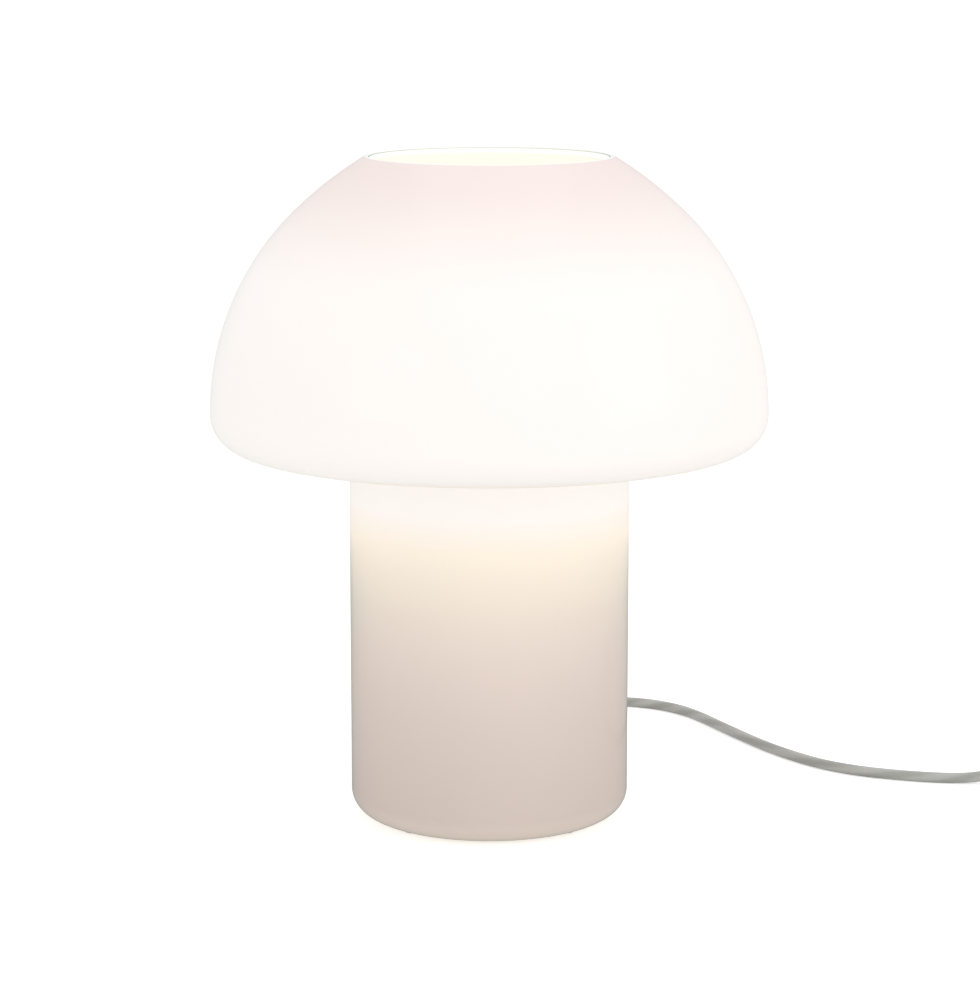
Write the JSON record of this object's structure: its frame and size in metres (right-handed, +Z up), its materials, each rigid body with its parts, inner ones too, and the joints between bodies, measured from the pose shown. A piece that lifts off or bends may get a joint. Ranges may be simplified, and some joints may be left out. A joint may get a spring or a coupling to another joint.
{
  "type": "mushroom table lamp",
  "caption": "Mushroom-shaped table lamp: one blown opal glass with a domed cap, open at the top, on a thick round stem, with an inline switch and plug.",
  "frame": {"origin": "middle of the lamp's foot on the table", "axes": "+Z up along the lamp's axis, the front faces -Y, and the lead leaves at the back towards +Y"},
  "size_m": [0.5172, 0.3427, 0.3],
  "materials": {
    "opal_glass": "opal white, smooth, lit from inside",
    "clear_pads": "clear soft plastic",
    "black_rubber": "dull",
    "zinc_steel": "zinc plated",
    "white_metal": "white powder coat",
    "white_rubber": "soft plastic, dull",
    "white_plastic": "satin",
    "ceramic_insert": "unglazed, cream",
    "brass": "bright",
    "bulb_opal": "opal, glowing",
    "nickel": "nickel plated",
    "black_glass": "dark glass",
    "solder": "dull solder",
    "cord_grey": "grey, half clear",
    "core_insulation": "plain insulation",
    "clear_pvc": "half clear",
    "switch_white": "half gloss",
    "tie_strap": "soft plastic",
    "plug_white": "half gloss",
    "black_sleeve": "satin"
  },
  "bodies": {
    "lamp": {"glass_body": "opal_glass", "foot_pads": "clear_pads", "lower_seal": "black_rubber", "upper_seal": "black_rubber", "clamp_washer": "zinc_steel", "clamp_bolt": "zinc_steel", "base_plate": "zinc_steel", "column_foot": "zinc_steel", "column_tube": "white_metal", "column_head": "white_metal", "column_grommet": "white_rubber", "holder_nipple": "zinc_steel", "holder_nut": "zinc_steel", "holder_dome": "white_plastic", "holder_insert": "ceramic_insert", "holder_terminals": "brass", "terminal_screws": "zinc_steel", "holder_skirt": "white_plastic", "screw_shell": "brass", "centre_contact": "brass", "inner_cord": "cord_grey", "core_wires": "core_insulation", "cord_sleeve": "clear_pvc", "clamp_block": "white_plastic", "clamp_bar": "white_plastic", "clamp_screws": "zinc_steel", "switch_base": "switch_white", "switch_cover": "switch_white", "switch_contacts": "brass", "switch_screws": "zinc_steel", "cord_stretch": "cord_grey", "cord_link": "cord_grey", "cord_coil": "cord_grey", "coil_tie": "tie_strap", "plug_body": "plug_white", "plug_pins": "nickel", "pin_sleeves": "black_sleeve"},
    "bulb": {"bulb_glass": "bulb_opal", "bulb_screw_cap": "nickel", "bulb_insulator": "black_glass", "bulb_contact": "solder"},
    "rocker": {"switch_rocker": "switch_white", "contact_bridge": "brass"}
  },
  "joints": [
    {"name": "bulb_out", "type": "slide", "parent": "lamp", "child": "bulb", "axis": [0, 0, 1], "range_m": [0, 0.145]},
    {"name": "switch_rocker_tilt", "type": "hinge", "parent": "lamp", "child": "rocker", "pos_m": [0.286, 0.044, 0.0116], "axis": [0, -1, 0], "range_deg": [0, 24]}
  ]
}
